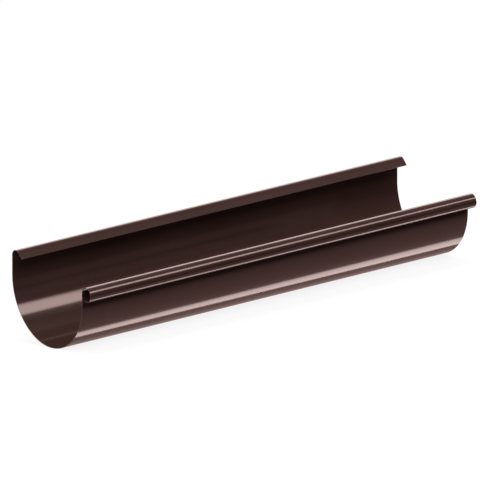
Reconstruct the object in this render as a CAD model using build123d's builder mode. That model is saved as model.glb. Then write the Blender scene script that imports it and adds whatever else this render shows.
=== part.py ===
from build123d import *
from math import atan2, degrees
import os

# A length of half-round eaves gutter, roll-formed from one strip of pre-painted steel sheet.
# X runs along the gutter and Z is up. The front bead is on the -Y side, the roof on the +Y side.
# All sizes are in millimetres. Radii of bends are those of the outer face.

# Strip and channel
gutter_length = 505.0
sheet_thickness = 0.6
channel_width = 125.0

# Rear edge, curled inward over the channel and ended by a straight flange that slants down
rear_wall_rise = 21.6
rear_curl_radius = 7.1
rear_curl_turn = 135.0
rear_flange_width = 7.2

# Front edge, curled outward into an open bead whose lip comes round close under the wall
front_wall_rise = 14.2
bead_radius = 7.8
bead_turn = 298.0

# Radii of the sheet's middle surface
half_sheet = sheet_thickness / 2
channel_radius = channel_width / 2 - half_sheet
rear_curl_middle_radius = rear_curl_radius - half_sheet
bead_middle_radius = bead_radius - half_sheet

# The section as it hangs on a house, drawn along the sheet's middle from the centre of the half-round.
# Every bend runs on tangent to its neighbour, as the rolls leave it.
with BuildSketch() as section:
    with BuildLine() as strip:
        trough = CenterArc((0, 0), channel_radius, 180, 180)
        rear_wall = Line(trough @ 1, trough @ 1 + Vector(0, rear_wall_rise))
        rear_curl = JernArc(rear_wall @ 1, rear_wall % 1, rear_curl_middle_radius, rear_curl_turn)
        rear_flange = PolarLine(rear_curl @ 1, rear_flange_width, direction=rear_curl % 1)
        front_wall = Line(trough @ 0, trough @ 0 + Vector(0, front_wall_rise))
        bead = JernArc(front_wall @ 1, front_wall % 1, bead_middle_radius, bead_turn)
    trace(line_width=sheet_thickness)

# Laid down loose, the gutter rocks on its half-round until its weight hangs straight below the centre.
# The bead is the heavier edge, so the front dips.
weight_centre = section.face().center(CenterOf.MASS)
rest_roll = degrees(atan2(-weight_centre.X, -weight_centre.Y))

with BuildSketch() as lying_section:
    add(section.sketch, rotation=rest_roll)

# The origin is on the floor, under the middle of the outline
outline = lying_section.sketch.bounding_box()
rest_plane = Plane(
    origin=(0, -outline.center().X, -outline.min.Y),
    x_dir=(0, 1, 0),
    z_dir=(1, 0, 0),
)

with BuildPart() as gutter:
    with BuildSketch(rest_plane):
        add(lying_section.sketch)
    extrude(amount=gutter_length / 2, both=True)

strip_width = sum(edge.length for edge in strip.edges())
print(f"Strip width {strip_width:.1f}, rolled {rest_roll:.2f} degrees from upright at rest")

os.makedirs("parts", exist_ok=True)
gutter.part.label = "gutter"
export_step(gutter.part, "parts/gutter.step")
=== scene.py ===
import math
import bmesh
import bpy
from mathutils import Matrix, Vector


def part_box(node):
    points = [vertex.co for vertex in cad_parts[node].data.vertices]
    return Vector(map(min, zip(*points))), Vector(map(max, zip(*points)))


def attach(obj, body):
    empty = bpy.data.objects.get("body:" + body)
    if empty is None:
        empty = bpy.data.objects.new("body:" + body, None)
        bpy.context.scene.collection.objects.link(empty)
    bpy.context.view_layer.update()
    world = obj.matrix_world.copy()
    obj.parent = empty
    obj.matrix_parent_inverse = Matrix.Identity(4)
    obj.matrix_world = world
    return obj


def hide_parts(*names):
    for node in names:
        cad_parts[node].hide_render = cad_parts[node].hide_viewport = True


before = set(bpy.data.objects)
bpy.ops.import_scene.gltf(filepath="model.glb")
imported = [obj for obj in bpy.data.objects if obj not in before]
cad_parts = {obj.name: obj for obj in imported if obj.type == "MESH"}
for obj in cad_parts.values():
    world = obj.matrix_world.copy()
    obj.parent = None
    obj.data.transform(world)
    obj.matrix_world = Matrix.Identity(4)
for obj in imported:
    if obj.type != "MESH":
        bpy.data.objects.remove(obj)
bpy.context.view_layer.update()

print("frame loaded")


def material(name):
    made = bpy.data.materials.new(name)
    made.use_nodes = True
    made.node_tree.nodes.clear()
    return made, made.node_tree.nodes, made.node_tree.links


def node(nodes, kind, **settings):
    made = nodes.new("ShaderNode" + kind)
    for key, value in settings.items():
        setattr(made, key, value)
    return made


# One value made of two by a Math node
def combined(nodes, links, first, second, operation):
    made = node(nodes, "Math", operation=operation)
    links.new(first, made.inputs[0])
    links.new(second, made.inputs[1])
    return made.outputs[0]


# A colour ramp over a value, its stops in rising order
def ramp(nodes, links, value, stops):
    made = node(nodes, "ValToRGB")
    elements = made.color_ramp.elements
    for extra in range(len(stops) - 2):
        elements.new(0.5)
    for element, (place, colour) in zip(elements, stops):
        element.position = place
        element.color = (*colour, 1)
    links.new(value, made.inputs["Fac"])
    return made.outputs["Color"]


# Noise on Object coordinates. A squeeze below 1 draws it out along the gutter.
def noise(nodes, links, scale, detail, squeeze=1):
    place = node(nodes, "TexCoord")
    mapping = node(nodes, "Mapping")
    mapping.inputs["Scale"].default_value = (squeeze, 1, 1)
    links.new(place.outputs["Object"], mapping.inputs["Vector"])
    made = node(nodes, "TexNoise")
    made.inputs["Scale"].default_value = scale
    made.inputs["Detail"].default_value = detail
    links.new(mapping.outputs["Vector"], made.inputs["Vector"])
    return made.outputs["Fac"]


def roughen(nodes, links, shader, height, strength, depth):
    bump = node(nodes, "Bump")
    bump.inputs["Strength"].default_value = strength
    bump.inputs["Distance"].default_value = depth
    links.new(height, bump.inputs["Height"])
    links.new(bump.outputs["Normal"], shader.inputs["Normal"])


# 1 where the camera sees a surface, straight, mirrored or through glass, and 0 where it only gives light
def shown(nodes, links):
    rays = node(nodes, "LightPath")
    direct = combined(nodes, links, rays.outputs["Is Camera Ray"], rays.outputs["Is Glossy Ray"], "MAXIMUM")
    return combined(nodes, links, direct, rays.outputs["Is Transmission Ray"], "MAXIMUM")


def meshObject(name, bm):
    mesh = bpy.data.meshes.new(name)
    bm.to_mesh(mesh)
    bm.free()
    made = bpy.data.objects.new(name, mesh)
    bpy.context.scene.collection.objects.link(made)
    return made


# Coil-coated paint: faint clouds in the brown, gloss drawn out in streaks along the strip, a fine orange peel
paintFinish = {
    "deepBrown": (0.0492, 0.0240, 0.0201),
    "lightBrown": (0.0584, 0.0288, 0.0246),
    "deepUpTo": 0.35,
    "lightFrom": 0.65,
    "cloudScale": 40,
    "cloudDetail": 4,
    "cloudSqueeze": 0.25,
    "ior": 1.5,
    "specularTint": (1.0, 0.93, 0.91),
    "smooth": 0.09,
    "dull": 0.13,
    "streakScale": 700,
    "streakDetail": 3,
    "streakSqueeze": 0.02,
    "peelScale": 900,
    "peelDetail": 2,
    "peelStrength": 0.05,
    "peelDepth": 0.00002,
}


def brownPaint(finish):
    made, nodes, links = material("brownPaint")
    output = node(nodes, "OutputMaterial")
    shader = node(nodes, "BsdfPrincipled")
    links.new(shader.outputs["BSDF"], output.inputs["Surface"])
    shader.inputs["IOR"].default_value = finish["ior"]
    shader.inputs["Specular Tint"].default_value = (*finish["specularTint"], 1)
    cloud = noise(nodes, links, finish["cloudScale"], finish["cloudDetail"], finish["cloudSqueeze"])
    browns = [(finish["deepUpTo"], finish["deepBrown"]), (finish["lightFrom"], finish["lightBrown"])]
    links.new(ramp(nodes, links, cloud, browns), shader.inputs["Base Color"])
    streak = noise(nodes, links, finish["streakScale"], finish["streakDetail"], finish["streakSqueeze"])
    gloss = node(nodes, "MapRange")
    gloss.inputs["To Min"].default_value = finish["smooth"]
    gloss.inputs["To Max"].default_value = finish["dull"]
    links.new(streak, gloss.inputs["Value"])
    links.new(gloss.outputs["Result"], shader.inputs["Roughness"])
    peel = noise(nodes, links, finish["peelScale"], finish["peelDetail"])
    roughen(nodes, links, shader, peel, finish["peelStrength"], finish["peelDepth"])
    return made


# The sheared ends: bare steel with smears of paint
cutFinish = {
    "steel": (0.180, 0.128, 0.114),
    "paintLip": (0.072, 0.034, 0.028),
    "paintUpTo": 0.35,
    "steelFrom": 0.65,
    "roughness": 0.45,
    "grainScale": 2500,
    "grainDetail": 3,
    "grainStrength": 0.3,
    "grainDepth": 0.00003,
}


def cutSteel(finish):
    made, nodes, links = material("cutSteel")
    output = node(nodes, "OutputMaterial")
    shader = node(nodes, "BsdfPrincipled")
    links.new(shader.outputs["BSDF"], output.inputs["Surface"])
    shader.inputs["Roughness"].default_value = finish["roughness"]
    grain = noise(nodes, links, finish["grainScale"], finish["grainDetail"])
    colours = [(finish["paintUpTo"], finish["paintLip"]), (finish["steelFrom"], finish["steel"])]
    links.new(ramp(nodes, links, grain, colours), shader.inputs["Base Color"])
    roughen(nodes, links, shader, grain, finish["grainStrength"], finish["grainDepth"])
    return made


# The section is drawn as it hangs on a house, from the centre of the half-round, and then rolled to
# how it lies. Metres and degrees. Every radius is the outer face's.
gutterShape = {
    "length": 0.505,
    "sheet": 0.0006,
    "width": 0.125,
    "rearWallRise": 0.0216,
    "rearCurlRadius": 0.0071,
    "rearCurlTurn": 135,
    "rearFlangeWidth": 0.0072,
    "frontWallRise": 0.0142,
    "beadRadius": 0.0078,
    "beadTurn": 298,
    "restRoll": 9.506,
    "troughSteps": 120,
    "curlSteps": 30,
    "beadSteps": 60,
    "lengthSteps": 20,
    "weldWithin": 0.000001,
    "edgeRounding": 0.00007,
    "edgeSteps": 2,
    "roundedOver": 60,
}


# Runs the strip on straight from an end vertex
def straight(bm, end, direction, width):
    made = bmesh.ops.extrude_vert_indiv(bm, verts=[end])["verts"][0]
    bmesh.ops.translate(bm, verts=[made], vec=direction * width)
    return made


# Runs the strip on round a bend from an end vertex
def bend(bm, end, centre, turn, steps):
    angle = math.radians(turn)
    made = bmesh.ops.spin(bm, geom=[end], cent=centre, axis=(1, 0, 0), angle=angle, steps=steps)
    return [item for item in made["geom_last"] if isinstance(item, bmesh.types.BMVert)][0]


# The strip along the middle of its sheet, drawn in the plane of the left end
def drawSection(bm, shape):
    half = shape["sheet"] / 2
    channel = shape["width"] / 2 - half
    curl = shape["rearCurlRadius"] - half
    bead = shape["beadRadius"] - half
    up = Vector((0, 0, 1))
    rear = bm.verts.new((-shape["length"] / 2, channel, 0))
    # round the trough to the front wall, up it and round the bead
    front = bend(bm, rear, (0, 0, 0), -180, shape["troughSteps"])
    wallTop = straight(bm, front, up, shape["frontWallRise"])
    beadCentre = (0, wallTop.co.y - bead, wallTop.co.z)
    bend(bm, wallTop, beadCentre, shape["beadTurn"], shape["beadSteps"])
    # up the rear wall, round the curl and down the flange
    wallTop = straight(bm, rear, up, shape["rearWallRise"])
    curlCentre = (0, wallTop.co.y - curl, wallTop.co.z)
    curlEnd = bend(bm, wallTop, curlCentre, shape["rearCurlTurn"], shape["curlSteps"])
    slant = Matrix.Rotation(math.radians(shape["rearCurlTurn"]), 4, "X") @ up
    straight(bm, curlEnd, slant, shape["rearFlangeWidth"])


def drawAlong(bm, shape):
    edges = bm.edges[:]
    for step in range(shape["lengthSteps"]):
        made = bmesh.ops.extrude_edge_only(bm, edges=edges)["geom"]
        verts = [item for item in made if isinstance(item, bmesh.types.BMVert)]
        edges = [item for item in made if isinstance(item, bmesh.types.BMEdge)
                 and all(vert in verts for vert in item.verts)]
        bmesh.ops.translate(bm, verts=verts, vec=(shape["length"] / shape["lengthSteps"], 0, 0))
    bmesh.ops.remove_doubles(bm, verts=bm.verts, dist=shape["weldWithin"])
    bmesh.ops.recalc_face_normals(bm, faces=bm.faces)
    for face in bm.faces:
        face.smooth = True


# Where the centre of the half-round lies across the gutter and above the floor, by the frame
def troughCentre(shape):
    radius = shape["width"] / 2
    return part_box("gutter")[1].y - radius, radius


def makeGutter(shape):
    bm = bmesh.new()
    drawSection(bm, shape)
    drawAlong(bm, shape)
    roll = Matrix.Rotation(math.radians(shape["restRoll"]), 3, "X")
    bmesh.ops.rotate(bm, verts=bm.verts, cent=(0, 0, 0), matrix=roll)
    bmesh.ops.translate(bm, verts=bm.verts, vec=(0, *troughCentre(shape)))
    sheet = meshObject("gutterSheet", bm)
    sheet.data.materials.append(brownPaint(paintFinish))
    sheet.data.materials.append(cutSteel(cutFinish))
    thickness = sheet.modifiers.new("thickness", "SOLIDIFY")
    thickness.thickness = shape["sheet"]
    thickness.offset = 0
    thickness.use_even_offset = True
    thickness.material_offset_rim = 1
    rounding = sheet.modifiers.new("rounding", "BEVEL")
    rounding.width = shape["edgeRounding"]
    rounding.segments = shape["edgeSteps"]
    rounding.limit_method = "ANGLE"
    rounding.angle_limit = math.radians(shape["roundedOver"])
    rounding.harden_normals = True
    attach(sheet, "root")
    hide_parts("gutter")


makeGutter(gutterShape)
print("gutter made")

# The floor glows a little less round the gutter, where the softboxes light it as well.
floorFinish = {
    "size": 60,
    "paint": (0.18, 0.18, 0.18),
    "glowNear": 0.87,
    "glowFar": 1.0,
    "nearRadius": 0.8,
    "farRadius": 3.0,
}


def paleFloor(finish):
    made, nodes, links = material("paleFloor")
    output = node(nodes, "OutputMaterial")
    both = node(nodes, "AddShader")
    matt = node(nodes, "BsdfDiffuse")
    glow = node(nodes, "Emission")
    links.new(matt.outputs[0], both.inputs[0])
    links.new(glow.outputs[0], both.inputs[1])
    links.new(both.outputs[0], output.inputs["Surface"])
    matt.inputs["Color"].default_value = (*finish["paint"], 1)
    place = node(nodes, "TexCoord")
    away = node(nodes, "VectorMath", operation="LENGTH")
    links.new(place.outputs["Object"], away.inputs[0])
    level = node(nodes, "MapRange", interpolation_type="SMOOTHSTEP")
    level.inputs["From Min"].default_value = finish["nearRadius"]
    level.inputs["From Max"].default_value = finish["farRadius"]
    level.inputs["To Min"].default_value = finish["glowNear"]
    level.inputs["To Max"].default_value = finish["glowFar"]
    links.new(away.outputs["Value"], level.inputs["Value"])
    strength = combined(nodes, links, shown(nodes, links), level.outputs["Result"], "MULTIPLY")
    links.new(strength, glow.inputs["Strength"])
    return made


def makeFloor(finish):
    bm = bmesh.new()
    bmesh.ops.create_grid(bm, x_segments=1, y_segments=1, size=finish["size"] / 2)
    floor = meshObject("floor", bm)
    floor.data.materials.append(paleFloor(finish))
    floor.visible_glossy = False  # the tunnel stands for it in reflections


makeFloor(floorFinish)
print("floor made")

studio = {
    "roomLight": 0.135,
    "background": 1.0,
}


def makeRoom():
    world = bpy.data.worlds.new("room")
    bpy.context.scene.world = world
    world.use_nodes = True
    nodes, links = world.node_tree.nodes, world.node_tree.links
    nodes.clear()
    output = node(nodes, "OutputWorld")
    light = node(nodes, "Background")
    links.new(light.outputs[0], output.inputs["Surface"])
    light.inputs["Color"].default_value = (1, 1, 1, 1)
    strength = node(nodes, "MapRange")
    strength.inputs["To Min"].default_value = studio["roomLight"]
    strength.inputs["To Max"].default_value = studio["background"]
    links.new(shown(nodes, links), strength.inputs["Value"])
    links.new(strength.outputs["Result"], light.inputs["Strength"])


# Long softboxes beside the gutter, each given by the angles between which it is seen from the
# gutter's axis, from the horizon in front, over the top and down behind. They light the paint, and
# the tunnel below is what it mirrors.
softboxes = {
    "frontBox": {"low": 30, "high": 62, "away": 2.0, "length": 4.0, "radiance": 1.85},
    "topBox": {"low": 75, "high": 105, "away": 2.0, "length": 4.0, "radiance": 1.5},
    "rearBox": {"low": 128, "high": 146, "away": 2.0, "length": 4.0, "radiance": 1.1},
}
axisHeight = 0.06
wattsToRadiance = 4  # watts of an area lamp per square metre for a radiance of 1


def makeSoftbox(name, box):
    spread = math.radians(box["high"] - box["low"]) / 2
    angle = math.radians((box["high"] + box["low"]) / 2)
    width = 2 * box["away"] * math.tan(spread)
    light = bpy.data.lights.new(name, "AREA")
    light.shape = "RECTANGLE"
    light.size = box["length"]
    light.size_y = width
    light.energy = box["radiance"] * wattsToRadiance * width * box["length"]
    lamp = bpy.data.objects.new(name, light)
    bpy.context.scene.collection.objects.link(lamp)
    # it stands out from the axis and shines back at it
    back = Vector((0, -math.cos(angle), math.sin(angle)))
    side = Vector((1, 0, 0))
    turn = Matrix((side, back.cross(side), back)).transposed()
    middle = Vector((0, 0, axisHeight)) + back * box["away"]
    lamp.matrix_world = Matrix.Translation(middle) @ turn.to_4x4()
    lamp.visible_camera = False
    lamp.visible_glossy = False


# A round tunnel along the gutter that only reflections see, with light bands on a graded ground.
# Angles run from the horizon in front (0) over the top (90) to the horizon behind (180), and below
# the gutter they are negative. The view sees the bands between the places nearEnd and farEnd along
# the tunnel. From the one to the other each edge of a band moves by its drift.
tunnel = {
    "radius": 5.0,
    "length": 40.0,
    "sides": 96,
    "bandTint": (1.0, 0.80, 0.78),
    "endGrey": 0.10,
    "tints": [(-180, (1.0, 0.70, 0.66)), (-60, (1.0, 0.57, 0.53)), (20, (1.0, 0.55, 0.49)),
              (50, (1.0, 0.81, 0.76)), (180, (1.0, 0.80, 0.76))],
    "greys": [(-180, 0.70), (-160, 0.50), (-115, 0.52), (-88, 0.79), (-71, 0.70), (-61, 0.66),
              (-52, 0.59), (-43, 0.46), (-37, 0.18), (-34, 0.0), (-18, 0.0), (-9, 0.03), (0, 0.11),
              (22, 0.18), (30, 0.28), (52, 0.48), (57, 0.38), (66, 0.12), (100, 0.25), (120, 0.50),
              (180, 0.70)],
    "nearEnd": 3.14,
    "farEnd": 3.64,
    "bands": {
        "front": {"from": 28.2, "fromDrift": 6.0, "fromEdge": 6.0,
                  "to": 50.0, "toDrift": 0.0, "toEdge": 6.0, "radiance": 7.8},
        "rear": {"from": 126.0, "fromDrift": 0.0, "fromEdge": 5.0,
                 "to": 165.0, "toDrift": 0.0, "toEdge": 5.0, "radiance": 2.6},
        "under": {"from": -108.5, "fromDrift": -4.6, "fromEdge": 1.0,
                  "to": -94.0, "toDrift": 0.9, "toEdge": 4.0, "radiance": 4.05},
    },
}


# A smooth rise from 0 to 1 over an edge's width round its angle, which drifts along the tunnel
def bandEdge(nodes, links, angle, along, place, drift, width):
    moved = node(nodes, "MapRange")
    moved.inputs["From Min"].default_value = tunnel["nearEnd"]
    moved.inputs["From Max"].default_value = tunnel["farEnd"]
    moved.inputs["To Max"].default_value = drift
    links.new(along, moved.inputs["Value"])
    made = node(nodes, "MapRange", interpolation_type="SMOOTHSTEP")
    made.inputs["From Min"].default_value = place - width / 2
    made.inputs["From Max"].default_value = place + width / 2
    links.new(combined(nodes, links, angle, moved.outputs["Result"], "SUBTRACT"), made.inputs["Value"])
    return made.outputs["Result"]


# The tunnel's stops with their angles as shares of the ramp, which runs from -180 to 180 degrees
def overTheTurn(stops):
    return [((angle + 180) / 360, colour) for angle, colour in stops]


def tunnelLight():
    made, nodes, links = material("tunnelLight")
    made.cycles.emission_sampling = "NONE"
    output = node(nodes, "OutputMaterial")
    glow = node(nodes, "Emission")
    links.new(glow.outputs[0], output.inputs["Surface"])
    # the angle round the tunnel, from the horizon in front
    place = node(nodes, "TexCoord")
    apart = node(nodes, "SeparateXYZ")
    links.new(place.outputs["Object"], apart.inputs[0])
    forward = node(nodes, "Math", operation="MULTIPLY")
    links.new(apart.outputs["Y"], forward.inputs[0])
    forward.inputs[1].default_value = -1
    degrees = node(nodes, "Math", operation="DEGREES")
    links.new(combined(nodes, links, apart.outputs["Z"], forward.outputs[0], "ARCTAN2"), degrees.inputs[0])
    angle, along = degrees.outputs[0], apart.outputs["X"]
    # the graded ground
    share = node(nodes, "MapRange")
    share.inputs["From Min"].default_value = -180
    share.inputs["From Max"].default_value = 180
    links.new(angle, share.inputs["Value"])
    greys = overTheTurn([(stop, (grey, grey, grey)) for stop, grey in tunnel["greys"]])
    ground = node(nodes, "VectorMath", operation="MULTIPLY")
    links.new(ramp(nodes, links, share.outputs["Result"], greys), ground.inputs[0])
    links.new(ramp(nodes, links, share.outputs["Result"], overTheTurn(tunnel["tints"])), ground.inputs[1])
    light = ground.outputs["Vector"]
    # the bands on it
    for band in tunnel["bands"].values():
        begun = bandEdge(nodes, links, angle, along, band["from"], band["fromDrift"], band["fromEdge"])
        ended = bandEdge(nodes, links, angle, along, band["to"], band["toDrift"], band["toEdge"])
        coloured = node(nodes, "VectorMath", operation="SCALE")
        coloured.inputs[0].default_value = [band["radiance"] * part for part in tunnel["bandTint"]]
        links.new(combined(nodes, links, begun, ended, "SUBTRACT"), coloured.inputs["Scale"])
        added = node(nodes, "VectorMath", operation="ADD")
        links.new(light, added.inputs[0])
        links.new(coloured.outputs["Vector"], added.inputs[1])
        light = added.outputs["Vector"]
    links.new(light, glow.inputs["Color"])
    return made


def tunnelEnd():
    made, nodes, links = material("tunnelEnd")
    made.cycles.emission_sampling = "NONE"
    output = node(nodes, "OutputMaterial")
    glow = node(nodes, "Emission")
    glow.inputs["Color"].default_value = (*tunnel["bandTint"], 1)
    glow.inputs["Strength"].default_value = tunnel["endGrey"]
    links.new(glow.outputs[0], output.inputs["Surface"])
    return made


def makeTunnel():
    bm = bmesh.new()
    bmesh.ops.create_cone(bm, cap_ends=True, segments=tunnel["sides"], radius1=tunnel["radius"],
                          radius2=tunnel["radius"], depth=tunnel["length"])
    laidDown = Matrix.Rotation(math.radians(90), 3, "Y")
    bmesh.ops.rotate(bm, verts=bm.verts, cent=(0, 0, 0), matrix=laidDown)
    bm.normal_update()
    for face in bm.faces:
        face.material_index = 1 if abs(face.normal.x) > 0.5 else 0  # 1 is the two ends
    shell = meshObject("tunnel", bm)
    shell.data.materials.append(tunnelLight())
    shell.data.materials.append(tunnelEnd())
    shell.location = (0, 0, axisHeight)
    shell.visible_camera = False
    shell.visible_diffuse = False
    shell.visible_transmission = False
    shell.visible_volume_scatter = False
    shell.visible_shadow = False


makeRoom()
for name, box in softboxes.items():
    makeSoftbox(name, box)
makeTunnel()
print("lights made")

# The long lens has almost no perspective. Turn and height are the view's, round the gutter as it
# hangs, so the camera is rolled with it. The near end's centre of the half-round lies beside and
# under the middle of the frame.
photoView = {
    "turn": 36.4986,
    "height": 19.3818,
    "lens": 1600,
    "sensor": 36,
    "frameWidth": 0.50259,
    "toRight": 0.20193,
    "toTop": 0.05264,
    "clipStart": 1,
    "clipEnd": 60,
}


def makeCamera(view, shape):
    turn, height = math.radians(view["turn"]), math.radians(view["height"])
    level = Vector((-math.sin(turn), -math.cos(turn), 0))
    back = level * math.cos(height) + Vector((0, 0, math.sin(height)))
    right = Vector((math.cos(turn), -math.sin(turn), 0))
    roll = Matrix.Rotation(math.radians(shape["restRoll"]), 3, "X")
    back, right = roll @ back, roll @ right
    above = back.cross(right)
    nearCentre = Vector((-shape["length"] / 2, *troughCentre(shape)))
    target = nearCentre + right * view["toRight"] + above * view["toTop"]
    camera = bpy.data.cameras.new("camera")
    camera.lens = view["lens"]
    camera.sensor_width = view["sensor"]
    camera.clip_start = view["clipStart"]
    camera.clip_end = view["clipEnd"]
    holder = bpy.data.objects.new("camera", camera)
    bpy.context.scene.collection.objects.link(holder)
    distance = view["frameWidth"] * view["lens"] / view["sensor"]
    aimed = Matrix((right, above, back)).transposed()
    holder.matrix_world = Matrix.Translation(target + back * distance) @ aimed.to_4x4()
    bpy.context.scene.camera = holder


makeCamera(photoView, gutterShape)
bpy.context.scene.view_settings.view_transform = "Standard"
print("camera made")

bpy.context.view_layer.update()
